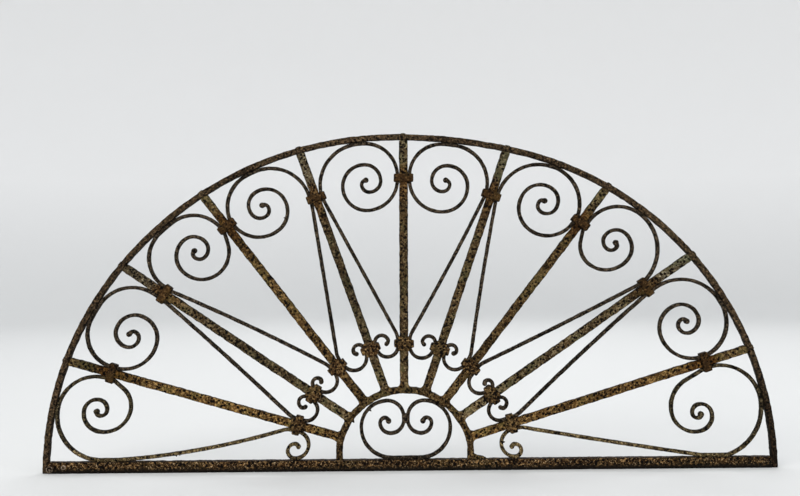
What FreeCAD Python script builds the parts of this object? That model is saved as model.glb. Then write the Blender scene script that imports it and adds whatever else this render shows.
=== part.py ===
import FreeCAD, Part
import cmath
import math
import os

# Driving sizes, in millimetres, degrees or plain ratios
SIZES = (
    # Arch of the rim and the rail under it
    ("rim_half_span", 753.5),
    ("rim_flattening", 56),
    ("rim_apex_shift", -30),
    ("rim_left_shoulder", 27),
    ("rim_right_shoulder", 13),
    ("rim_spring_drop", 8),
    ("rim_thickness", 12),
    ("rim_depth", 18),
    ("rail_height", 22),
    ("rail_depth", 20),
    # Fan of rays
    ("fan_x", -10),
    ("fan_height", 30.6),
    ("ray_width", 17),
    ("ray_depth", 13),
    # Riveted tenon of each ray
    ("tenon_radius", 4),
    ("tenon_fit", 0.1),
    ("rivet_radius", 6.5),
    ("rivet_height", 2),
    # Hub arch that carries the rays' feet
    ("hub_half_span", 140.5),
    ("hub_flattening", 16),
    ("hub_shoulder", 64),
    ("hub_leg", 24),
    ("hub_thickness", 12),
    ("hub_depth", 16),
    # Scroll bars
    ("scroll_thickness", 7.5),
    ("scroll_depth", 12),
    ("eye_radius", 6),
    ("tip_radius", 5),
    ("collar_bend", 14),
    ("shank_bend", 40),
    # Inner quarter turns of a big scroll, as shares of its third
    ("fourth_share", 0.735),
    ("fifth_share", 0.52),
    ("sixth_share", 0.352),
    ("last_share", 0.195),
    # Hook that ends a small curl: its turn as a share of the curl's, and its angle
    ("curl_share", 0.5),
    ("curl_hook_angle", 80),
    # Room between the bars and the rim, and where the end panels' bars meet the rail and lie on it
    ("rim_fit", 0.2),
    ("rail_setback_left", 112),
    ("rail_setback_right", 90),
    ("rail_run_left", 28),
    ("rail_run_right", 50),
    # Collars
    ("collar_band", 3),
    ("collar_fit", 0.3),
    ("collar_chamfer", 1.5),
    ("outer_collar_height", 15),
    ("outer_collar_mouth", 4),
    ("inner_collar_height", 14),
    ("inner_collar_mouth", 1.5),
    ("inner_tab_width", 23),
    ("inner_tab_reach", 7),
    ("inner_tab_band", 2),
    # Heart scroll in the hub, its turns and its inner run as shares of the hub's half span
    ("heart_shift", 2),
    ("heart_gap", 1.2),
    ("heart_fit", 0.3),
    ("heart_side_share", 0.44),
    ("heart_outer_share", 0.384),
    ("heart_inner_share", 0.235),
    ("heart_run_share", 0.05),
    ("heart_third_share", 0.192),
    ("heart_fourth_share", 0.153),
    ("heart_fifth_share", 0.075),
    ("heart_last_share", 0.05),
    # Unit of the lengths in the tables of rays and panels
    ("fan_module", 100),
)

# Faces that the hammer left round each tenon, rivet head and scroll end
FORGED_SIDES = 8

# Each hand-laid ray from left to right: its angle from the left end of the rail, and in fan modules its
# sideways set from the fan's centre and the places of its collars from the rim and from the fan's centre
RAY_SIZES = ("ray_angle", "ray_shift", "outer_setback", "inner_distance")
RAYS = (
    (16.1, 0, 0.9, 2.29),
    (34.3, 0, 0.99, 2.26),
    (52.4, -0.02, 0.77, 2.28),
    (70.7, -0.07, 0.97, 2.29),
    (90.3, 0.015, 0.77, 2.29),
    (109, 0.015, 0.94, 2.29),
    (127.8, 0.03, 0.86, 2.26),
    (145.5, -0.01, 1.09, 2.17),
    (162.9, -0.04, 0.89, 2.28),
)

# Each panel's hand-bent bar from left to right: the angles at which it bends off its collar into the big
# scroll and into the loop, and in fan modules its runs past the collar, the first three quarter turns of
# the scroll, its run under the rim, the sag of its shank and the turn of its small curl
PANEL_SIZES = ("scroll_angle", "loop_angle", "scroll_lead", "loop_lead", "first_turn", "second_turn",
               "third_turn", "rim_run", "sag", "curl_turn")
PANELS = (
    (25, 0, 0, 0.04, 0.545, 0.56, 0.365, 0, 0.09, 0.15),
    (0, 0, 0, 0, 0.69, 0.48, 0.4, 0.3, 0.02, 0.125),
    (20, 0, 0, 0, 0.62, 0.55, 0.43, 0.3, -0.035, 0.105),
    (0, 18, 0.02, 0, 0.66, 0.49, 0.415, 0.14, 0, 0.115),
    (0, 0, 0, 0, 0.635, 0.49, 0.45, 0.1, 0, 0.14),
    (0, 0, 0, 0, 0.67, 0.525, 0.425, 0.2, 0.025, 0.135),
    (0, 20, 0.09, 0, 0.63, 0.54, 0.415, 0.02, 0.02, 0.11),
    (25, 0, 0, 0.1, 0.54, 0.57, 0.385, 0, 0.015, 0.095),
    (0, 8, 0, 0, 0.675, 0.495, 0.36, 0.08, 0.025, 0.12),
    (14, 0, 0.22, 0, 0.72, 0.48, 0.31, 0, 0.01, 0.13),
)


def cells():
    """Name and value of every driving size."""
    yield from SIZES
    for names, rows in ((RAY_SIZES, RAYS), (PANEL_SIZES, PANELS)):
        for number, row in enumerate(rows, 1):
            for name, value in zip(names, row):
                yield "%s_%d" % (name, number), value


doc = FreeCAD.newDocument("fanlight")
sheet = doc.addObject("Spreadsheet::Sheet", "Sizes")
for row, (name, value) in enumerate(cells(), 1):
    sheet.set("A%d" % row, name)
    sheet.set("B%d" % row, str(value))
    sheet.setAlias("B%d" % row, name)
doc.recompute()


def size(name):
    """Value of a driving size."""
    return float(sheet.get(name))


def own_angle(name, number):
    """Numbered ray's or panel's own angle."""
    return size("%s_%d" % (name, number))


def own_length(name, number):
    """Numbered ray's or panel's own length, in millimetres."""
    return size("%s_%d" % (name, number)) * size("fan_module")


# Plane geometry: a point is a complex number, real part along X and imaginary part up Z
def dot(a, b):
    return (a.conjugate() * b).real


def turn_between(start, end, side):
    """Angle in degrees from one direction round to another; side is 1 for left and -1 for right."""
    return math.degrees(side * cmath.phase(end / start)) % 360


def vector(point):
    return FreeCAD.Vector(point.real, 0, point.imag)


class Path:
    """Centre line of a bar: straight runs and arcs, each tangent to the one before."""

    def __init__(self, start, heading):
        self.start = start
        self.point = start
        self.heading = heading / abs(heading)
        self.spans = []

    def run(self, length):
        if length > 1e-6:
            end = self.point + self.heading * length
            self.spans.append(("line", self.point, end, self.heading))
            self.point = end

    def turn(self, radius, angle, side):
        """Arc through angle degrees; side is 1 to turn left and -1 to turn right."""
        if angle < 1e-6:
            return
        centre = self.point + 1j * side * radius * self.heading
        sweep = side * math.radians(angle)
        start = cmath.phase(self.point - centre)
        self.spans.append(("arc", centre, radius, start, sweep, side))
        self.point = centre + cmath.rect(radius, start + sweep)
        self.heading *= cmath.exp(1j * sweep)

    def reverse(self):
        """The same line, drawn from its other end."""
        path = Path(self.point, -self.heading)
        for span in reversed(self.spans):
            if span[0] == "line":
                path.run(abs(span[2] - span[1]))
            else:
                path.turn(span[2], math.degrees(abs(span[4])), -span[5])
        return path

    def edges(self, offset):
        """Edges of the line that lies offset to the left of the centre line."""
        out = []
        for span in self.spans:
            if span[0] == "line":
                aside = 1j * span[3] * offset
                out.append((span[1] + aside, None, span[2] + aside))
            else:
                centre, radius, start, sweep, side = span[1:]
                radius -= side * offset
                ends = [centre + cmath.rect(radius, start + sweep * part) for part in (0, 0.5, 1)]
                out.append(tuple(ends))
        return out


def edge(start, middle, end):
    if middle is None:
        return Part.makeLine(vector(start), vector(end))
    return Part.Arc(vector(start), vector(middle), vector(end)).toShape()


def ribbon(path, thickness):
    """Flat outline of a bar of that thickness along the path."""
    left = path.edges(thickness / 2)
    right = path.edges(-thickness / 2)
    outline = [edge(*item) for item in left]
    outline.append(edge(left[-1][2], None, right[-1][2]))
    outline += [edge(*item[::-1]) for item in reversed(right)]
    outline.append(edge(right[0][0], None, left[0][0]))
    return Part.Face(Part.Wire(outline))


def region(path, offset):
    """Flat area under one side of an arched path, closed from end to end."""
    side = path.edges(offset)
    outline = [edge(*item) for item in side]
    outline.append(edge(side[-1][2], None, side[0][0]))
    return Part.Face(Part.Wire(outline))


# Document objects
def bind(item, **expressions):
    for name, expression in expressions.items():
        item.setExpression(name, expression)
    return item


def extrude(name, face, depth):
    """Face drawn in the XZ plane, extruded evenly to front and back."""
    flat = doc.addObject("Part::Feature", name + "_outline")
    flat.Shape = face
    solid = doc.addObject("Part::Extrusion", name)
    solid.Base = flat
    solid.DirMode = "Custom"
    solid.Dir = FreeCAD.Vector(0, 1, 0)
    solid.Solid = True
    solid.Symmetric = True
    return bind(solid, LengthFwd=depth)


def block(name, length, width, height):
    return bind(doc.addObject("Part::Box", name), Length=length, Width=width, Height=height)


def forged_pin(name, radius, height):
    """Pin rounded by hand, with a few flat faces round it."""
    item = bind(doc.addObject("Part::Prism", name), Circumradius=radius, Height=height)
    item.Polygon = FORGED_SIDES
    return item


def boolean(kind, name, first, second):
    item = doc.addObject("Part::" + kind, name)
    item.Base = first
    item.Tool = second
    return item


def fuse(name, shapes):
    item = doc.addObject("Part::MultiFuse", name)
    item.Shapes = shapes
    return item


def place(item, point, angle=0, forward=0):
    """Set item at a point, so far behind the XZ plane, its own Z leaning to the left by angle degrees."""
    lean = FreeCAD.Rotation(FreeCAD.Vector(0, -1, 0), angle)
    item.Placement = FreeCAD.Placement(vector(point) + FreeCAD.Vector(0, forward, 0), lean)
    return item


nodes = []


def finish(item, name):
    item.Label = name
    nodes.append(item)


class Arch:
    """Three-centred arch of a flat bar, set out by its outer face; its two halves may differ a little."""

    def __init__(self, apex, spring, rise, thickness, left, right):
        self.apex = apex
        self.spring = spring
        self.top = spring + rise
        self.thickness = thickness
        self.halves = {-1: self.half(rise, *left), 1: self.half(rise, *right)}

    def half(self, rise, span, shoulder):
        """Span, side radius, crown radius and the angle swept by the side."""
        side = rise - shoulder
        inset = span - side
        crown = inset * inset / (2 * shoulder) + (rise + side) / 2
        return span, side, crown, math.degrees(math.atan2(crown - rise, inset))

    def path(self, leg=0):
        """Centre line of the bar from left to right, on straight legs of that length."""
        middle = self.thickness / 2
        span, side, crown, sweep = self.halves[-1]
        path = Path(complex(self.apex - span + middle, self.spring - leg), 1j)
        path.run(leg)
        path.turn(side - middle, sweep, -1)
        path.turn(crown - middle, 90 - sweep, -1)
        span, side, crown, sweep = self.halves[1]
        path.turn(crown - middle, 90 - sweep, -1)
        path.turn(side - middle, sweep, -1)
        path.run(leg)
        return path

    def arc_over(self, point):
        """Centre and radius of the inner face where it passes over a point."""
        hand = -1 if point.real < self.apex else 1
        span, side, crown, sweep = self.halves[hand]
        middle = complex(self.apex, self.top - crown)
        reach = point - middle
        if math.degrees(math.atan2(reach.imag, abs(reach.real))) > sweep:
            return middle, crown - self.thickness
        return complex(self.apex + hand * (span - side), self.spring), side - self.thickness

    def inside(self, point):
        """Distance from a point to the inner face."""
        centre, radius = self.arc_over(point)
        return radius - abs(point - centre)


def solve(clear, high):
    """Largest length up to high that is still clear, by halving."""
    low = 0.0
    for _ in range(60):
        middle = (low + high) / 2
        if clear(middle):
            low = middle
        else:
            high = middle
    return low


# Rim over the rail, and the hub arch in the middle of it on two straight legs
rail_top = size("rail_height")
fan = complex(size("fan_x"), size("fan_height"))
rim_t = size("rim_thickness")
hub_t = size("hub_thickness")
half_span = size("rim_half_span")
hub_span = size("hub_half_span")
apex_shift = size("rim_apex_shift")
rim = Arch(apex_shift, -size("rim_spring_drop"), half_span - size("rim_flattening"), rim_t,
           left=(half_span + apex_shift, size("rim_left_shoulder")),
           right=(half_span - apex_shift, size("rim_right_shoulder")))
hub_half = (hub_span, size("hub_shoulder"))
hub = Arch(fan.real, rail_top + size("hub_leg"), hub_span - size("hub_flattening"), hub_t,
           left=hub_half, right=hub_half)
rim_path = rim.path()
hub_path = hub.path(size("hub_leg"))

# Rays
ray_w = size("ray_width")
bar_t = size("scroll_thickness")
rim_reach = bar_t / 2 + size("rim_fit")


class Ray:
    """Line that a scroll bar lies against: a spoke's axis, or the top of the rail."""

    def __init__(self, base, heading, reach):
        self.base = base
        self.heading = heading
        self.reach = reach
        self.lean = math.degrees(cmath.phase(heading / 1j))

    def at(self, distance):
        return self.base + self.heading * distance

    def along(self, point):
        return dot(self.heading, point - self.base)

    def to_rim(self, depth=0):
        """Distance to the rim's inner face, or to that depth in it."""
        return solve(lambda distance: rim.inside(self.at(distance)) > -depth, 2 * half_span)


def spoke_ray(number):
    heading = -cmath.exp(-1j * math.radians(own_angle("ray_angle", number)))
    base = fan + 1j * heading * own_length("ray_shift", number)
    return Ray(base, heading, (ray_w + bar_t) / 2)


left_rail = Ray(1j * rail_top, -1 + 0j, bar_t / 2)
right_rail = Ray(1j * rail_top, 1 + 0j, bar_t / 2)
spoke_numbers = range(1, len(RAYS) + 1)
rays = [left_rail] + [spoke_ray(number) for number in spoke_numbers] + [right_rail]

# Collar stations along the rays, and the straight stretch of bar in each collar
outer_run = size("outer_collar_height") - 2 * size("outer_collar_mouth")
inner_run = size("inner_collar_height") - 2 * size("inner_collar_mouth")
outer_at = {number: rays[number].to_rim() - own_length("outer_setback", number) for number in spoke_numbers}
inner_at = {number: own_length("inner_distance", number) for number in spoke_numbers}


class Panel:
    """Space between two rays: its bar's scrolls curl on the odd one, and its shank leaves the even one."""

    def __init__(self, number):
        odd = number % 2
        self.number = number
        self.side = 1 if odd else -1
        self.curl_no = number if odd else number - 1
        self.other_no = number - 1 if odd else number
        self.curl = rays[self.curl_no]
        self.other = rays[self.other_no]
        self.curl_in = 1j * self.side * self.curl.heading
        self.other_in = -1j * self.side * self.other.heading
        self.angle = abs(math.degrees(cmath.phase(self.other.heading / self.curl.heading)))

    def beside(self, ray, distance):
        """Centre of the bar where it lies against one of the panel's rays."""
        inward = self.curl_in if ray is self.curl else self.other_in
        return ray.at(distance) + inward * ray.reach

    def circle(self, distance):
        """Centre and radius of the bar's circle on both rays, at that distance along the odd one."""
        foot = self.beside(self.curl, distance)
        gap = dot(self.other_in, foot - self.other.base) - self.other.reach
        radius = gap / (1 - dot(self.curl_in, self.other_in))
        return foot + self.curl_in * radius, radius

    def contact(self):
        """Distances along the even ray, or the rail, between which the bar lies on it."""
        if self.other_no in outer_at:
            middle = outer_at[self.other_no]
            return middle + outer_run / 2, middle - outer_run / 2
        end = "left" if self.other is left_rail else "right"
        touch = self.other.to_rim() - size("rail_setback_" + end)
        return touch, touch - size("rail_run_" + end)

    def bar(self):
        """Centre line of the bar, from the eye of the big scroll to the eye of the small curl."""
        path = self.big_scroll()
        self.loop(path)
        self.shank(path)
        self.small_curl(path)
        return path

    def big_scroll(self):
        """Turns that grow from the eye to the odd ray's outer collar."""
        third = own_length("third_turn", self.number)
        turns = [own_length("second_turn", self.number), third]
        for share in ("fourth_share", "fifth_share", "sixth_share", "last_share"):
            turns.append(third * size(share))
        start = self.beside(self.curl, outer_at[self.curl_no] - outer_run / 2)
        inward = Path(start, -self.curl.heading)
        self.first_turn(inward)
        for radius in turns:
            inward.turn(radius, 90, -self.side)
        path = inward.reverse()
        path.run(outer_run)
        return path

    def first_turn(self, path):
        """Quarter turn off the collar: a short bend, a straight run and the arc that ends it."""
        bend = size("collar_bend")
        tilt = own_angle("scroll_angle", self.number)
        ahead = math.cos(math.radians(tilt))
        across = math.sin(math.radians(tilt))
        aside = own_length("first_turn", self.number)
        forward = aside + own_length("scroll_lead", self.number) - bend * across
        aside -= bend * (1 - ahead)
        path.turn(bend, tilt, -self.side)
        path.run((forward * ahead - aside * (1 - across)) / (1 - across))
        path.turn((aside * ahead - forward * across) / (1 - across), 90 - tilt, -self.side)

    def loop(self, path):
        """Bend off the odd ray's collar, the arc up to the rim, and the way under it to the even ray."""
        path.run(own_length("loop_lead", self.number))
        path.turn(size("collar_bend"), own_angle("loop_angle", self.number), self.side)
        foot = path.point
        inward = 1j * self.side * path.heading

        def clear(radius):
            return rim.inside(foot + inward * radius) > radius + rim_reach

        near_radius = solve(clear, half_span)
        near = foot + inward * near_radius
        middle, rim_radius = rim.arc_over(near)
        along_rim = own_length("rim_run", self.number) / (rim_radius - rim_reach)
        out = (near - middle) / abs(near - middle)
        path.turn(near_radius, turn_between(-inward, out, self.side), self.side)
        path.turn(rim_radius - rim_reach, math.degrees(along_rim), self.side)
        out *= cmath.exp(1j * self.side * along_rim)
        top = path.point
        station = self.contact()[0]
        gap = dot(self.other_in, top - self.other.base) - self.other.reach
        far_radius = gap / (1 + dot(out, self.other_in))
        touch = self.other.along(top - out * far_radius)
        if touch > station:
            path.turn(far_radius, turn_between(out, -self.other_in, self.side), self.side)
            path.run(touch - station)
        else:
            self.flat_loop(path, top, out, station)

    def flat_loop(self, path, top, out, station):
        """Wide arc and the sharper bend that ends it, where the even ray is met far out."""
        bend = size("collar_bend")
        last = self.beside(self.other, station) + self.other_in * bend
        drop = last - top
        radius = (bend * bend - abs(drop) ** 2) / (2 * (dot(drop, out) + bend))
        joint = (drop + out * radius) / (radius - bend)
        path.turn(radius, turn_between(out, joint, self.side), self.side)
        path.turn(bend, turn_between(joint, -self.other_in, self.side), self.side)

    def shank(self, path):
        """Bend off the even ray or the rail, the long run with its sag, and the bend onto the odd ray."""
        bend = size("shank_bend")
        sag = own_length("sag", self.number)
        touch, leave = self.contact()
        start = self.beside(self.other, leave)
        end = self.beside(self.curl, inner_at[self.curl_no] + inner_run / 2)
        turn_in = 1j * self.side
        lean = 0.0
        bow = 0.0
        for _ in range(40):
            first = cmath.rect(1, math.radians(lean - bow))
            last = cmath.rect(1, math.radians(lean + bow + self.angle))
            from_ray = -self.other.heading * bend * (first.imag + turn_in * (1 - first.real))
            to_ray = -self.curl.heading * bend * (last.imag + turn_in * (1 - last.real))
            chord = end - to_ray - start - from_ray
            lean = abs(math.degrees(cmath.phase(chord / -self.other.heading)))
            bow = 2 * math.degrees(math.atan(2 * sag / abs(chord)))
        path.run(touch - leave)
        path.turn(bend, lean - bow, self.side)
        if bow:
            hollow = math.copysign(self.side, self.side * bow)
            path.turn(abs(chord) / (2 * math.sin(math.radians(abs(bow)))), 2 * abs(bow), hollow)
        else:
            path.run(abs(chord))
        path.turn(bend, lean + bow + self.angle, -self.side)

    def small_curl(self, path):
        """Loop from the odd ray's inner collar to the even one's, or to the rail, and the curl after it."""
        start = inner_at[self.curl_no] - inner_run / 2
        past = 0.0
        if self.other_no in inner_at:
            finish_at = inner_at[self.other_no] - inner_run / 2
            past = max(0.0, self.other.along(self.circle(start)[0]) - finish_at)
        centre, radius = self.circle(start - past)
        path.run(inner_run + past)
        path.turn(radius, 180 - self.angle, -self.side)
        if self.other_no in inner_at:
            path.run(finish_at + inner_run - self.other.along(centre))
        curl = own_length("curl_turn", self.number)
        path.turn(curl, 180, -self.side)
        path.turn(curl * size("curl_share"), size("curl_hook_angle"), -self.side)


def knob(name, point, radius):
    """Snub end of a scroll: a short boss across the bar's end."""
    item = forged_pin(name, radius, "Sizes.scroll_depth")
    foot = vector(point) + FreeCAD.Vector(0, size("scroll_depth") / 2, 0)
    item.Placement = FreeCAD.Placement(foot, FreeCAD.Rotation(FreeCAD.Vector(1, 0, 0), 90))
    return item


def scroll(name, path, tip_radius):
    """Bar bent along a path, from the eye of its first scroll to the tip of its last."""
    bar = extrude(name + "_bar", ribbon(path, bar_t), "Sizes.scroll_depth")
    eye = knob(name + "_eye", path.start, "Sizes.eye_radius")
    tip = knob(name + "_tip", path.point, tip_radius)
    finish(fuse(name, [bar, eye, tip]), name)


# Trimming volumes: under the rim's inner and outer faces, and under the hub's outer face
TRIM_DEPTH = "4 * Sizes.rail_depth"
inner_trim = extrude("rim_inner_trim", region(rim_path, -rim_t / 2), TRIM_DEPTH)
outer_trim = extrude("rim_outer_trim", region(rim_path, rim_t / 2), TRIM_DEPTH)
hub_trim = extrude("hub_trim", region(hub_path, hub_t / 2), TRIM_DEPTH)

finish(extrude("hub_arch", ribbon(hub_path, hub_t), "Sizes.hub_depth"), "hub_arch")

# Bottom rail, fitted between the feet of the rim
rail_bar = block("rail_bar", "2 * Sizes.rim_half_span", "Sizes.rail_depth", "Sizes.rail_height")
place(rail_bar, -half_span, forward=-size("rail_depth") / 2)
finish(boolean("Common", "bottom_rail", rail_bar, inner_trim), "bottom_rail")

# Rim, cut level at its feet and pierced for the rays' tenons
rim_bar = extrude("rim_bar", ribbon(rim_path, rim_t), "Sizes.rim_depth")
below = block("below_rail", "4 * Sizes.rim_half_span", TRIM_DEPTH, "Sizes.rim_half_span")
place(below, complex(-2, -1) * half_span, forward=-2 * size("rail_depth"))
mortises = []
MORTISE_RADIUS = "Sizes.tenon_radius + Sizes.tenon_fit"
for number in spoke_numbers:
    ray = rays[number]
    hole = forged_pin("mortise_%d" % number, MORTISE_RADIUS, "2 * Sizes.rim_half_span")
    mortises.append(place(hole, ray.at(0), ray.lean))
finish(boolean("Cut", "arch_rim", rim_bar, fuse("rim_cutters", mortises + [below])), "arch_rim")


def heart_turn(name):
    return hub_span * size("heart_%s_share" % name)


def heart_path():
    """Heart scroll: a flat foot on the rail and two mirrored loops, as high as the hub leaves room for."""
    outer = heart_turn("outer")
    middle = fan.real + size("heart_shift")
    half = (bar_t + size("heart_gap")) / 2 + outer + heart_turn("inner")
    foot = rail_top + bar_t / 2
    room = outer + bar_t / 2 + size("heart_fit")
    shoulders = [middle + hand * (half - outer) for hand in (-1, 1)]

    def clear(height):
        return all(hub.inside(complex(shoulder, height)) > room for shoulder in shoulders)

    level = solve(clear, hub.top)
    side = min(heart_turn("side"), level - foot)

    def draw(path, hand):
        path.run(half - side)
        path.turn(side, 90, hand)
        path.run(level - foot - side)
        path.turn(outer, 90, hand)
        path.turn(heart_turn("inner"), 90, hand)
        path.run(heart_turn("run"))
        for name in ("third", "fourth", "fifth", "last"):
            path.turn(heart_turn(name), 90, hand)

    right = Path(complex(middle, foot), 1 + 0j)
    draw(right, 1)
    path = right.reverse()
    draw(path, -1)
    return path


scroll("heart_scroll", heart_path(), "Sizes.eye_radius")


def spoke(number):
    """Ray trimmed to the hub and rim, with a tenon riveted over outside the rim."""
    ray = rays[number]
    name = "spoke_%d" % number
    bar = block(name + "_bar", "Sizes.ray_width", "Sizes.ray_depth", "2 * Sizes.rim_half_span")
    corner = ray.at(hub_span - 2 * hub_t) + 1j * ray.heading * ray_w / 2
    place(bar, corner, ray.lean, -size("ray_depth") / 2)
    under = boolean("Common", name + "_under", bar, inner_trim)
    trimmed = boolean("Cut", name + "_trimmed", under, hub_trim)
    tip = ray.to_rim(rim_t)
    tenon = forged_pin(name + "_tenon", "Sizes.tenon_radius", "2 * Sizes.rim_thickness + Sizes.ray_width")
    place(tenon, ray.at(tip - 2 * rim_t - ray_w), ray.lean)
    head = forged_pin(name + "_head", "Sizes.rivet_radius", "Sizes.rim_thickness + Sizes.rivet_height")
    place(head, ray.at(tip - rim_t), ray.lean)
    rivet = boolean("Cut", name + "_rivet", head, outer_trim)
    finish(fuse(name, [trimmed, tenon, rivet]), name)


for number in spoke_numbers:
    spoke(number)

for number in range(1, len(PANELS) + 1):
    scroll("panel_scroll_%d" % number, Panel(number).bar(), "Sizes.tip_radius")

# Width and depth of a ray with a scroll bar on each side of it
BUNDLE_WIDTH = "(Sizes.ray_width + 2 * Sizes.scroll_thickness + 2 * Sizes.collar_fit)"
BUNDLE_DEPTH = "Sizes.ray_depth"
BOX_UPRIGHTS = (1, 3, 5, 7)


def middle_block(name, length, width, height):
    """Block about its own middle, so that it can be set on a ray's axis."""
    item = block(name, length, width, height)
    doc.recompute()
    item.Placement.Base = FreeCAD.Vector(item.Length.Value, item.Width.Value, item.Height.Value) * -0.5
    return item


def wrapped(name, length, band, height):
    """Bent strip round a bundle: a block with its corners beaten flat as the strip was bent."""
    item = doc.addObject("Part::Chamfer", name)
    item.Base = middle_block(name + "_block", length, "%s + 2 * %s" % (BUNDLE_DEPTH, band), height)
    item.Edges = [(index, size("collar_chamfer"), size("collar_chamfer")) for index in BOX_UPRIGHTS]
    return item


def collar(name, ray, station, height, stepped):
    """Collar round a ray and the scroll bars on both sides of it, stepped by a narrower strip under it."""
    band = wrapped(name + "_band", BUNDLE_WIDTH + " + 2 * Sizes.collar_band", "Sizes.collar_band", height)
    body = band
    long = height + " + 2 * Sizes.inner_tab_reach"
    if stepped:
        tab = wrapped(name + "_tab", "Sizes.inner_tab_width", "Sizes.inner_tab_band", long)
        body = fuse(name + "_body", [band, tab])
    opening = middle_block(name + "_opening", BUNDLE_WIDTH, BUNDLE_DEPTH, "2 * (%s)" % long)
    finish(place(boolean("Cut", name, body, opening), ray.at(station), ray.lean), name)


for number in spoke_numbers:
    ray = rays[number]
    collar("outer_collar_%d" % number, ray, outer_at[number], "Sizes.outer_collar_height", False)
    collar("inner_collar_%d" % number, ray, inner_at[number], "Sizes.inner_collar_height", True)

doc.recompute()

for item in doc.Objects:
    bad = [word for word in item.State if word in ("Invalid", "Error")]
    if bad:
        raise RuntimeError("%s is %s" % (item.Name, bad))

os.makedirs("parts", exist_ok=True)
for item in nodes:
    shape = item.Shape
    if shape.isNull() or not shape.isValid() or len(shape.Solids) != 1:
        raise RuntimeError("%s has no single valid solid" % item.Label)
    shape.exportStep("parts/%s.step" % item.Label)
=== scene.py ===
import math
import random

import bmesh
import bpy
from mathutils import Matrix, Vector
from mathutils.bvhtree import BVHTree


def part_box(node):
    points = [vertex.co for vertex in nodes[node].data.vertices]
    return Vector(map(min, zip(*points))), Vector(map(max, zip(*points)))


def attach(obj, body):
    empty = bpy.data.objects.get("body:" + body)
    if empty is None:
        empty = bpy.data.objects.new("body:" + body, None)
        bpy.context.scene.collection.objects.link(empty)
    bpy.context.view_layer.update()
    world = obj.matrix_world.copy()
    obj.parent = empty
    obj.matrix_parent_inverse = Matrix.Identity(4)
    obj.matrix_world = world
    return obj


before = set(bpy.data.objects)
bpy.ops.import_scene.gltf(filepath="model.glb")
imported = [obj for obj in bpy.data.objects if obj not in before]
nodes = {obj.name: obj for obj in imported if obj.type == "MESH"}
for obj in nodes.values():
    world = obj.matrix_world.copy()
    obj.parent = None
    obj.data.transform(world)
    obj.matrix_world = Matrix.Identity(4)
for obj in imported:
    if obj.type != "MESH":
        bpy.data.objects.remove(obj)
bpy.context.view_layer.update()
scene = bpy.context.scene


def srgb(red, green, blue):
    """Linear colour from 0-255 display values."""
    def linear(value):
        value /= 255
        return value / 12.92 if value <= 0.04045 else ((value + 0.055) / 1.055) ** 2.4
    return (linear(red), linear(green), linear(blue), 1)


# Sockets of a Mix node that mixes colours
MIX_INPUTS = (0, 6, 7)
MIX_RESULT = 2


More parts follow.
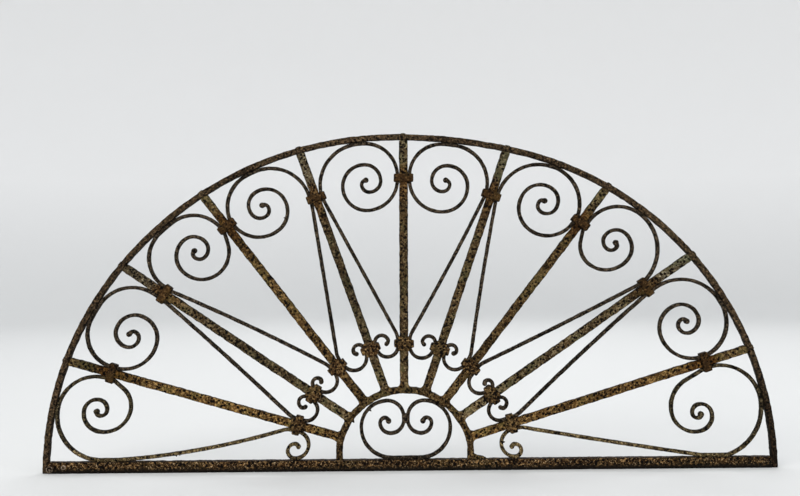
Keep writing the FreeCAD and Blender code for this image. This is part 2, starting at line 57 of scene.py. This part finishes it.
class Graph:
    """Node tree of a new material, with short calls for its nodes.

    Places are in metres from the middle of the rail's underside.
    """

    def __init__(self, name):
        self.material = bpy.data.materials.new(name)
        self.material.use_nodes = True
        self.tree = self.material.node_tree
        self.shader = self.tree.nodes["Principled BSDF"]
        self.coordinates = self.tree.nodes.new("ShaderNodeTexCoord")
        self.place = self.coordinates.outputs["Object"]

    def link(self, source, socket):
        self.tree.links.new(source, socket)

    def noise(self, scale, detail=4, roughness=0.6, distortion=0.0):
        node = self.tree.nodes.new("ShaderNodeTexNoise")
        self.link(self.place, node.inputs["Vector"])
        node.inputs["Scale"].default_value = scale
        node.inputs["Detail"].default_value = detail
        node.inputs["Roughness"].default_value = roughness
        node.inputs["Distortion"].default_value = distortion
        return node.outputs["Fac"]

    def cells(self, scale):
        """Distance to the nearest of many scattered points, in cell widths."""
        node = self.tree.nodes.new("ShaderNodeTexVoronoi")
        self.link(self.place, node.inputs["Vector"])
        node.inputs["Scale"].default_value = scale
        return node.outputs["Distance"]

    def facing(self):
        """1 on the front and the back of the grille, 0 on the sides of its bars."""
        split = self.tree.nodes.new("ShaderNodeSeparateXYZ")
        self.link(self.coordinates.outputs["Normal"], split.inputs["Vector"])
        return self.math("ABSOLUTE", split.outputs["Y"])

    def axis(self, letter):
        node = self.tree.nodes.new("ShaderNodeSeparateXYZ")
        self.link(self.place, node.inputs["Vector"])
        return node.outputs[letter]

    def across(self):
        """Distance to the right of the middle."""
        return self.axis("X")

    def height(self):
        """Height above the underside of the rail."""
        return self.axis("Z")

    def reach(self):
        """Distance from the middle of the rail's underside."""
        node = self.tree.nodes.new("ShaderNodeVectorMath")
        node.operation = "LENGTH"
        self.link(self.place, node.inputs[0])
        return node.outputs["Value"]

    def lift(self):
        """Reach times height: small along the low shanks and large on the scrolls that they end in."""
        return self.math("MULTIPLY", self.reach(), self.height())

    def math(self, operation, first, second=None):
        node = self.tree.nodes.new("ShaderNodeMath")
        node.operation = operation
        self.link(first, node.inputs[0])
        if second is not None:
            self.link(second, node.inputs[1])
        return node.outputs["Value"]

    def ramp(self, source, *stops):
        """Colour, or grey level, that changes between stops of (value, colour) in rising order."""
        node = self.tree.nodes.new("ShaderNodeValToRGB")
        self.link(source, node.inputs["Fac"])
        band = node.color_ramp
        band.elements[0].position = stops[0][0]
        band.elements[-1].position = stops[-1][0]
        for position, _ in stops[1:-1]:
            band.elements.new(position)
        for element, (_, colour) in zip(band.elements, stops):
            element.color = colour if isinstance(colour, tuple) else (colour, colour, colour, 1)
        return node.outputs["Color"]

    def mix(self, share, first, second, blend="MIX"):
        node = self.tree.nodes.new("ShaderNodeMix")
        node.data_type = "RGBA"
        node.blend_type = blend
        for source, index in zip((share, first, second), MIX_INPUTS):
            socket = node.inputs[index]
            if isinstance(source, bpy.types.NodeSocket):
                self.link(source, socket)
            else:
                socket.default_value = source
        return node.outputs[MIX_RESULT]

    def times(self, first, second):
        return self.mix(1.0, first, second, "MULTIPLY")

    def bump(self, height, distance, strength, normal=None):
        node = self.tree.nodes.new("ShaderNodeBump")
        node.inputs["Distance"].default_value = distance
        node.inputs["Strength"].default_value = strength
        self.link(height, node.inputs["Height"])
        if normal is not None:
            self.link(normal, node.inputs["Normal"])
        return node.outputs["Normal"]


# Rust: noise scale of each kind of patch or spot, and the noise levels between which it blends in
BROWN_PATCHES = 45
BROWN_BLEND = ((0.42, 0.0), (0.58, 1.0))
BROWN_SHADE = 0.74
OLIVE_PATCHES = 22
OLIVE_BLEND = ((0.5, 0.0), (0.62, 0.85))
FLECK_SPOTS = 215
FLECK_EDGE = 0.07
BRIGHT_SPOTS = 451.5
BRIGHT_BLEND = ((0.61, 0.0), (0.67, 1.0))
PIT_SPOTS = 161.25
PIT_RAGS = 129
PIT_SIZES = ((0.3, 0.55), (0.7, 1.6))
PIT_FLOOR = 0.12
PIT_BRINK = 0.06
PIT_BUMP = (0.0016, 0.6)
TONE_PATCHES = 7
TONES = ((0.36, 0.75), (0.64, 1.25))
DUST_SPOTS = 900
DUST = ((0.3, 0.7), (0.7, 1.3))
ROUGH_SPOTS = 420
ROUGH_BUMP = (0.0008, 0.7)
ROUGHNESS = ((0.35, 0.9), (0.65, 0.6))
SPECULAR = 0.05
# Painted shade, not rust: the facing levels between which the bars' sides are darkened as if in shade
SIDE_FACING = 0.3
FRONT_FACING = 0.97
# Painted shade under the rail: its black, and the share of its height below which it is full black
UNDERSIDE_SHADE_COLOUR = srgb(17, 14, 10)
UNDERSIDE_SHADE_EDGE = 0.78
CLEAN = (1, 1, 1, 1)


def iron(name, pit, body, olive, fleck, bright, pits=0.36, flecks=0.53, sides=0.42, underside_shade=None, tints=()):
    """Old forged iron: a brown body with olive patches, paler rust flecks, black pits and painted shade on
    the sides of its bars.

    Colours are display values of 0-255; pits is the pits' radius in cell widths, flecks the noise level
    above which flecks show, sides the share of brightness that the bars' sides keep under their painted
    shade, underside_shade a height in metres under which the face is painted black as the shade under the
    rail, and tints pairs of a measure of the place and the stops of a tint along it.
    """
    graph = Graph(name)
    brown = graph.mix(graph.ramp(graph.noise(BROWN_PATCHES), *BROWN_BLEND),
                      srgb(*[BROWN_SHADE * value for value in body]), srgb(*body))
    patches = graph.noise(OLIVE_PATCHES, detail=3, roughness=0.55, distortion=0.4)
    patched = graph.mix(graph.ramp(patches, *OLIVE_BLEND), brown, srgb(*olive))
    grain = graph.noise(FLECK_SPOTS, distortion=0.5)
    flecked = graph.mix(graph.ramp(grain, (flecks, 0.0), (flecks + FLECK_EDGE, 1.0)), patched, srgb(*fleck))
    glints = graph.ramp(graph.noise(BRIGHT_SPOTS, detail=3), *BRIGHT_BLEND)
    brightened = graph.mix(glints, flecked, srgb(*bright))
    rags = graph.ramp(graph.noise(PIT_RAGS, detail=3), *PIT_SIZES)
    ragged = graph.math("MULTIPLY", graph.cells(PIT_SPOTS), rags)
    hollows = graph.ramp(ragged, (pits - PIT_FLOOR, 1.0), (pits + PIT_BRINK, 0.0))
    colour = graph.mix(hollows, brightened, srgb(*pit))
    colour = graph.times(colour, graph.ramp(graph.noise(TONE_PATCHES, detail=3, roughness=0.5), *TONES))
    colour = graph.times(colour, graph.ramp(graph.noise(DUST_SPOTS, roughness=0.65), *DUST))
    # Painted shade: the sides of the bars darker than their front and back, as the shade on them
    colour = graph.times(colour, graph.ramp(graph.facing(), (SIDE_FACING, sides), (FRONT_FACING, 1.0)))
    # Painted shade: the face black below a height, as the shade under the rail's foot
    if underside_shade is not None:
        shaded_underside = graph.ramp(graph.height(), (underside_shade * UNDERSIDE_SHADE_EDGE, 1.0), (underside_shade, 0.0))
        colour = graph.mix(shaded_underside, colour, UNDERSIDE_SHADE_COLOUR)
    for measure, stops in tints:
        colour = graph.times(colour, graph.ramp(measure(graph), *stops))
    graph.link(colour, graph.shader.inputs["Base Color"])
    graph.link(graph.ramp(grain, *ROUGHNESS), graph.shader.inputs["Roughness"])
    graph.shader.inputs["Specular IOR Level"].default_value = SPECULAR
    rough = graph.bump(graph.noise(ROUGH_SPOTS, roughness=0.65), *ROUGH_BUMP)
    graph.link(graph.bump(ragged, *PIT_BUMP, normal=rough), graph.shader.inputs["Normal"])
    return graph.material


# Rust of each kind of bar, with painted shade on the bars' sides and under the rail: the rim is darker at its
# right end, and the lowest scroll bars in their curls
RIM_END = ((0.705, CLEAN), (0.735, (0.42, 0.39, 0.4, 1)))
SHANK_CURL = ((0.027, CLEAN), (0.042, (0.5, 0.53, 0.6, 1)))
bar_rust = iron("bar_rust", (12, 7, 3), (82, 59, 29), (86, 74, 38), (134, 108, 66), (170, 144, 104),
                pits=0.44)
hub_rust = iron("hub_rust", (10, 6, 3), (66, 48, 26), (68, 60, 34), (112, 91, 58), (148, 126, 92),
                pits=0.44)
# The rail's face is painted black in its lowest 9 mm, as the shade under it
rail_rust = iron("rail_rust", (8, 5, 3), (50, 33, 16), (54, 41, 22), (134, 103, 65), (196, 168, 130),
                 pits=0.46, flecks=0.54, underside_shade=0.009)
rim_rust = iron("rim_rust", (12, 8, 5), (54, 42, 29), (56, 47, 32), (98, 78, 56), (136, 114, 88),
                pits=0.4, tints=[(Graph.across, RIM_END)])
scroll_rust = iron("scroll_rust", (8, 6, 4), (38, 31, 23), (40, 34, 25), (80, 68, 54), (118, 102, 84),
                   pits=0.4, flecks=0.52, sides=0.45)
shank_rust = iron("shank_rust", (10, 7, 4), (72, 59, 38), (74, 64, 41), (134, 115, 80), (164, 144, 108),
                  pits=0.42, sides=0.45, tints=[(Graph.lift, SHANK_CURL)])
# Rivets: their steep walls painted almost black, as the shade in their grooves
rivet_rust = iron("rivet_rust", (22, 16, 12), (112, 94, 76), (118, 100, 80), (142, 126, 108),
                  (168, 150, 132), pits=0.2, sides=0.1)
collar_rust = iron("collar_rust", (10, 6, 3), (60, 41, 22), (64, 52, 29), (120, 94, 58), (158, 130, 92),
                   pits=0.46)
band_rust = iron("band_rust", (10, 6, 3), (54, 36, 17), (56, 42, 20), (82, 60, 33), (104, 80, 52),
                 pits=0.34, flecks=0.55)


# Forged surface: worn edges, hammer waves and pits
def clouds(name, size, depth):
    texture = bpy.data.textures.new(name, "CLOUDS")
    texture.noise_scale = size
    texture.noise_depth = depth
    return texture


EDGE_WEAR = 0.5
waves = clouds("hammer_waves", size=0.016, depth=1)
pitting = clouds("pitting", size=0.0045, depth=2)


def forge(item, voxel, wear, wave, pit, swell):
    """Remesh a piece, wear its edges in so many passes and displace it: every length in metres."""
    remesh = item.modifiers.new("worn", "REMESH")
    remesh.mode = "VOXEL"
    remesh.voxel_size = voxel
    remesh.use_smooth_shade = True
    smooth = item.modifiers.new("soft_edges", "SMOOTH")
    smooth.factor = EDGE_WEAR
    smooth.iterations = wear
    full = item.modifiers.new("full_size", "DISPLACE")
    full.mid_level = 0
    full.strength = swell
    for name, texture, height in (("hammered", waves, wave), ("pitted", pitting, pit)):
        displace = item.modifiers.new(name, "DISPLACE")
        displace.texture = texture
        displace.texture_coords = "LOCAL"
        displace.strength = height


def dress(item, material):
    item.data.materials.clear()
    item.data.materials.append(material)


# Packed bars: start of the node's name, material, slot, voxel, wear, wave, pit and swell
FINISHES = (
    ("bottom_rail", rail_rust, "rusted_bar", 0.002, 2, 0.0018, 0.001, 0.0003),
    ("hub_arch", hub_rust, "rusted_bar", 0.0015, 3, 0.003, 0.0014, 0.0007),
    ("spoke_", bar_rust, "rusted_bar", 0.0019, 2, 0.002, 0.0012, 0.0002),
    ("arch_rim", rim_rust, "rim_bar", 0.002, 2, 0.0016, 0.0008, 0.0),
    ("heart_scroll", scroll_rust, "scroll_bar", 0.0016, 1, 0.001, 0.0006, -0.0001),
    ("panel_scroll_", scroll_rust, "scroll_bar", 0.0016, 1, 0.001, 0.0006, -0.0001),
    ("outer_collar_", band_rust, "collar_iron", 0.0012, 4, 0.0014, 0.0008, 0.0008),
    ("inner_collar_", collar_rust, "collar_iron", 0.0012, 5, 0.002, 0.0012, 0.001),
)
for start, material, slot, *surface in FINISHES:
    for name, item in nodes.items():
        if name.startswith(start):
            dress(item, material)
            forge(item, *surface)
for name in ("panel_scroll_1", "panel_scroll_10"):
    dress(nodes[name], shank_rust)

# Rays, left to right: brightness, greyness, and the further brightness of the foot, outer collar and tip
RAY_TONES = (
    (1.34, 0.90, 1.0, 0.6, 0.55),
    (0.97, 1.18, 1.4, 1.2, 1.2),
    (1.13, 0.94, 0.6, 0.75, 0.8),
    (0.83, 1.16, 1.9, 1.9, 1.6),
    (0.91, 1.08, 2.0, 1.5, 1.4),
    (0.92, 1.10, 1.5, 1.1, 1.1),
    (0.97, 0.97, 1.0, 1.0, 1.05),
    (1.14, 1.22, 1.2, 0.7, 0.95),
    (1.26, 0.90, 1.15, 0.65, 0.8),
)
RAY_COUNT = len(RAY_TONES)
RAY_PIT = (10, 6, 3)
RAY_COLOURS = ((66, 48, 26), (68, 60, 34), (112, 91, 58), (148, 126, 92))
GREEN_SHARE = 0.3
FOOT_FADE = 0.05
TIP_TINT = (1.0, 1.15, 1.35)

# Brown about the outer collar: start and full tint on the hub's side of it, fade and end on the rim's side
COLLAR_TINT = (0.8, 0.65, 0.5)
BROWN_START = 0.06
BROWN_FULL = 0.025
BROWN_FADE = 0.02
BROWN_END = 0.04


def shaded(tint, share):
    return (*[share * value for value in tint], 1)


def collar_distance(name):
    """Distance of a collar from the middle of the rail's underside."""
    low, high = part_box(name)
    return ((low + high) / 2).length


for number, (tone, grey, foot, collar, tip) in enumerate(RAY_TONES, 1):
    shares = (tone, tone * (1 - GREEN_SHARE + GREEN_SHARE * grey), tone * grey)
    colours = [[value * share for value, share in zip(colour, shares)] for colour in RAY_COLOURS]
    inner = collar_distance("inner_collar_%d" % number)
    outer = collar_distance("outer_collar_%d" % number)
    browned = shaded(COLLAR_TINT, collar)
    stops = (
        (inner - FOOT_FADE, foot),
        (inner, CLEAN),
        (outer - BROWN_START, CLEAN),
        (outer - BROWN_FULL, browned),
        (outer + BROWN_FADE, browned),
        (outer + BROWN_END, shaded(TIP_TINT, tip)),
    )
    ray_rust = iron("ray_rust_%d" % number, RAY_PIT, *colours, pits=0.44, tints=[(Graph.reach, stops)])
    dress(nodes["spoke_%d" % number], ray_rust)


# Welds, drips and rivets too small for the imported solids
DEEP = Vector((0, 1, 0))
chance = random.Random(9)


def piece(name, mesh, material, surface):
    """New piece on the grille's one body, forged as the bars are."""
    item = bpy.data.objects.new(name, mesh)
    scene.collection.objects.link(item)
    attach(item, "root")
    dress(item, material)
    forge(item, *surface)


def slabs(name, outlines, depth):
    """Mesh of flat outlines in the grille's plane, each given that depth about the plane."""
    mesh = bpy.data.meshes.new(name)
    builder = bmesh.new()
    for outline in outlines:
        near = [builder.verts.new(point - DEEP * depth / 2) for point in outline]
        far = [builder.verts.new(point + DEEP * depth / 2) for point in outline]
        builder.faces.new(near)
        builder.faces.new(list(reversed(far)))
        for index in range(len(outline)):
            builder.faces.new((near[index - 1], near[index], far[index], far[index - 1]))
    bmesh.ops.recalc_face_normals(builder, faces=builder.faces)
    builder.to_mesh(mesh)
    builder.free()
    return mesh


FILLET_HOLLOW = 0.16
FILLET_STEPS = 5


def fillet(corner, along, up, sink):
    """Outline of a hollow weld in the corner between two faces, sunk a little into both."""
    outline = [corner - along.normalized() * sink - up.normalized() * sink,
               corner + along - up.normalized() * sink]
    hollow = corner + FILLET_HOLLOW * (along + up)
    for step in range(FILLET_STEPS + 1):
        share = step / FILLET_STEPS
        outline.append((corner + along) * (1 - share) ** 2 + hollow * 2 * share * (1 - share)
                       + (corner + up) * share ** 2)
    outline.append(corner + up - along.normalized() * sink)
    return outline


def flat(vertex):
    return Vector((vertex.co.x, 0, vertex.co.z))


def mean(points):
    return sum(points, Vector()) / len(points)


hub_low, hub_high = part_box("hub_arch")
hub_foot = Vector(((hub_low.x + hub_high.x) / 2, 0, hub_low.z))
FOOT_REACH = 0.25
WELD_WIDTHS = (0.004, 0.0065)
WELD_HEIGHTS = (0.0045, 0.0075)
WELD_SINK = 0.003
WELD_DEPTH = 0.0115
WELD_SURFACE = (0.0011, 2, 0.0022, 0.0012, 0.0004)


def foot_weld(number):
    """Welds in both corners where a ray stands on the hub, found from the ray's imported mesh."""
    points = [flat(vertex) for vertex in nodes["spoke_%d" % number].data.vertices]
    foot = [point for point in points if (point - hub_foot).length < FOOT_REACH]
    tip = [point for point in points if (point - hub_foot).length >= FOOT_REACH]
    up = (mean(tip) - mean(foot)).normalized()
    across = up.cross(DEEP)
    corners = sorted(foot, key=across.dot)
    outlines = []
    for corner, other in ((corners[0], corners[-1]), (corners[-1], corners[0])):
        along = (corner - other).normalized() * chance.uniform(*WELD_WIDTHS)
        outlines.append(fillet(corner, along, up * chance.uniform(*WELD_HEIGHTS), WELD_SINK))
    name = "foot_weld_%d" % number
    piece(name, slabs(name, outlines, WELD_DEPTH), bar_rust, WELD_SURFACE)


for number in range(1, RAY_COUNT + 1):
    foot_weld(number)

# Points of the toe, to the right of the hub's leg and above the rail
TOE_OUTLINE = (
    (-0.003, -0.002),
    (0.026, -0.002),
    (0.0265, 0.001),
    (0.019, 0.0046),
    (0.008, 0.0066),
    (-0.003, 0.012),
)


def hub_toe():
    """Spread toe of the hub's right leg, lying on the rail."""
    base = Vector((hub_high.x, 0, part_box("bottom_rail")[1].z))
    outline = [base + Vector((along, 0, up)) for along, up in TOE_OUTLINE]
    piece("hub_toe", slabs("hub_toe", [outline], WELD_DEPTH), hub_rust, WELD_SURFACE)


hub_toe()

UNEVEN = (0.85, 1.15)


def turned(builder, base, axis, rings, size, sides):
    """Closed uneven shell about an axis, through rings of (height, radius) in shares of its size."""
    turn = axis.to_track_quat("Z", "Y")
    loops = []
    for height, radius in rings:
        loop = []
        for index in range(sides):
            angle = 2 * math.pi * index / sides
            spread = radius * size * chance.uniform(*UNEVEN)
            point = Vector((spread * math.cos(angle), spread * math.sin(angle), height * size))
            loop.append(builder.verts.new(base + turn @ point))
        loops.append(loop)
    for low, high in zip(loops, loops[1:]):
        for index in range(sides):
            builder.faces.new((low[index - 1], low[index], high[index], high[index - 1]))
    builder.faces.new(list(reversed(loops[0])))
    builder.faces.new(loops[-1])


def nearest(node, place):
    """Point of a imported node's surface that lies nearest to a place."""
    mesh = nodes[node].data
    points = [vertex.co for vertex in mesh.vertices]
    faces = [face.vertices for face in mesh.polygons]
    return BVHTree.FromPolygons(points, faces).find_nearest(place)[0]


# Drips and burrs: the bar that carries each, where it is, which way it points and how long it is
DRIPS = (
    ("panel_scroll_1", -0.480, 0.0354, 0, -1, 0.0028),
    ("panel_scroll_1", -0.473, 0.0362, 0.2, -1, 0.0022),
    ("panel_scroll_2", -0.648, 0.2495, 0.9, 0.4, 0.0026),
    ("panel_scroll_4", -0.2587, 0.522, -1, 0, 0.0026),
    ("panel_scroll_10", 0.1937, 0.0556, 1, 0, 0.0036),
    ("heart_scroll", -0.0828, 0.1257, 0.7, -0.7, 0.0036),
    ("hub_arch", -0.110, 0.0977, 0.6, -0.8, 0.0052),
)
DRIP_RINGS = ((-0.5, 0.75), (0, 0.7), (0.35, 0.5), (0.75, 0.36), (1.0, 0.2))
DRIP_SIDES = 10
DRIP_DEPTHS = (-0.004, 0)
DRIP_SURFACE = (0.0006, 1, 0.0006, 0.0004, 0.0002)


def drips():
    """Beads of slag that hang from the bars, all in one piece."""
    mesh = bpy.data.meshes.new("slag_drips")
    builder = bmesh.new()
    for node, x, z, aside, up, length in DRIPS:
        base = nearest(node, Vector((x, chance.uniform(*DRIP_DEPTHS), z)))
        turned(builder, base, Vector((aside, 0, up)).normalized(), DRIP_RINGS, length, DRIP_SIDES)
    builder.to_mesh(mesh)
    builder.free()
    piece("slag_drips", mesh, scroll_rust, DRIP_SURFACE)


drips()

# Rivets that tie the rim's left foot to the rail: where each stands, its radius and its rings
RIM_RING = ((-0.5, 1.0), (0.2, 1.02), (0.34, 0.88), (0.3, 0.7), (-0.4, 0.6))
RIM_PIN = ((-0.5, 0.36), (0.24, 0.36), (0.3, 0.2))
RAIL_RING = ((-0.5, 1.0), (0.16, 1.02), (0.3, 0.8), (0.26, 0.5), (-0.4, 0.3))
RIVETS = (
    (-0.7374, 0.0088, 0.0074, RIM_RING),
    (-0.7374, 0.0076, 0.0074, RIM_PIN),
    (-0.7093, 0.0128, 0.0052, RAIL_RING),
)
RIVET_SIDES = 16
RIVET_SURFACE = (0.0006, 1, 0.0006, 0.0004, 0.0001)


def corner_rivets():
    """Peened rivets, each a ring hammered up round the end of its pin or round the hole that lost it."""
    mesh = bpy.data.meshes.new("corner_rivets")
    builder = bmesh.new()
    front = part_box("bottom_rail")[0].y
    for x, z, radius, rings in RIVETS:
        turned(builder, Vector((x, front, z)), -DEEP, rings, radius, RIVET_SIDES)
    builder.to_mesh(mesh)
    builder.free()
    piece("corner_rivets", mesh, rivet_rust, RIVET_SURFACE)


corner_rivets()


# Camera: level with the middle of the photograph, square to the grille
IMAGE_WIDTH = 800
METRES_PER_PIXEL = 0.0020545
LENS = 50
SENSOR = 36
CAMERA_ACROSS = -0.0168
CAMERA_HEIGHT = 0.456
CAMERA_TILT = math.radians(90)
CAMERA_ROLL = math.radians(-0.5)
camera_data = bpy.data.cameras.new("camera")
camera_data.lens = LENS
camera_data.sensor_width = SENSOR
camera = bpy.data.objects.new("camera", camera_data)
scene.collection.objects.link(camera)
distance = METRES_PER_PIXEL * IMAGE_WIDTH * LENS / SENSOR
camera.location = (CAMERA_ACROSS, -distance, CAMERA_HEIGHT)
turn = Matrix.Rotation(CAMERA_TILT, 3, "X") @ Matrix.Rotation(CAMERA_ROLL, 3, "Z")
camera.rotation_euler = turn.to_euler()
scene.camera = camera


# Stage: a pale round floor that curves up into a far wall, and soft light
FLOOR_RADIUS = 5.0
BEND_RADIUS = 2.5
WALL_TOP = 6.0
FLOOR_COLOUR = srgb(208, 208, 207)
WALL_COLOUR = srgb(232, 231, 230)
WALL_COLOUR_HEIGHT = 1.0
STAGE_ROUGHNESS = 0.8
STAGE_SIDES = 64
BEND_STEPS = 12
SEAM_WIDTH = 0.0001


def backdrop():
    """Floor and far wall in one sheet round the grille, so that no edge shows from any side."""
    profile = [(0.0, 0.0), (FLOOR_RADIUS, 0.0)]
    for step in range(1, BEND_STEPS + 1):
        angle = math.radians(90 * step / BEND_STEPS)
        radius = FLOOR_RADIUS + BEND_RADIUS * math.sin(angle)
        profile.append((radius, BEND_RADIUS * (1 - math.cos(angle))))
    profile.append((FLOOR_RADIUS + BEND_RADIUS, WALL_TOP))
    mesh = bpy.data.meshes.new("stage")
    builder = bmesh.new()
    line = [builder.verts.new((radius, 0, height)) for radius, height in profile]
    edges = [builder.edges.new(pair) for pair in zip(line, line[1:])]
    bmesh.ops.spin(builder, geom=line + edges, axis=(0, 0, 1), cent=(0, 0, 0), angle=2 * math.pi,
                   steps=STAGE_SIDES, use_merge=True)
    bmesh.ops.remove_doubles(builder, verts=builder.verts, dist=SEAM_WIDTH)
    bmesh.ops.recalc_face_normals(builder, faces=builder.faces)
    builder.to_mesh(mesh)
    builder.free()
    mesh.shade_smooth()
    item = bpy.data.objects.new("stage", mesh)
    scene.collection.objects.link(item)
    graph = Graph("pale_floor")
    colour = graph.ramp(graph.height(), (0.0, FLOOR_COLOUR), (WALL_COLOUR_HEIGHT, WALL_COLOUR))
    graph.link(colour, graph.shader.inputs["Base Color"])
    graph.shader.inputs["Roughness"].default_value = STAGE_ROUGHNESS
    mesh.materials.append(graph.material)


# Lamps: name, place, height aimed at over the middle of the rail, width, height, power and colour
LAMPS = (
    ("key", (-3.2, -5.0, 4.6), 0.35, 4.0, 3.0, 110, (1, 0.98, 0.95)),
    ("fill", (4.4, -3.8, 1.6), 0.35, 4.0, 3.0, 30, (0.95, 0.98, 1)),
    ("back", (0.9, 4.6, 3.9), 0.3, 5.0, 2.5, 50, (1, 1, 1)),
)
LAMP_SPREAD = math.radians(120)
SKY_COLOUR = srgb(226, 230, 234)
SKY_STRENGTH = 1.32


def lamp(name, place, aim, width, height, power, colour):
    data = bpy.data.lights.new(name, "AREA")
    data.shape = "RECTANGLE"
    data.size = width
    data.size_y = height
    data.spread = LAMP_SPREAD
    data.energy = power
    data.color = colour
    item = bpy.data.objects.new(name, data)
    scene.collection.objects.link(item)
    item.visible_camera = False
    item.location = place
    item.rotation_euler = (Vector((0, 0, aim)) - Vector(place)).to_track_quat("-Z", "Y").to_euler()


backdrop()
for row in LAMPS:
    lamp(*row)
world = bpy.data.worlds.new("world")
world.use_nodes = True
sky = world.node_tree.nodes["Background"]
sky.inputs["Color"].default_value = SKY_COLOUR
sky.inputs["Strength"].default_value = SKY_STRENGTH
scene.world = world
scene.view_settings.view_transform = "Standard"
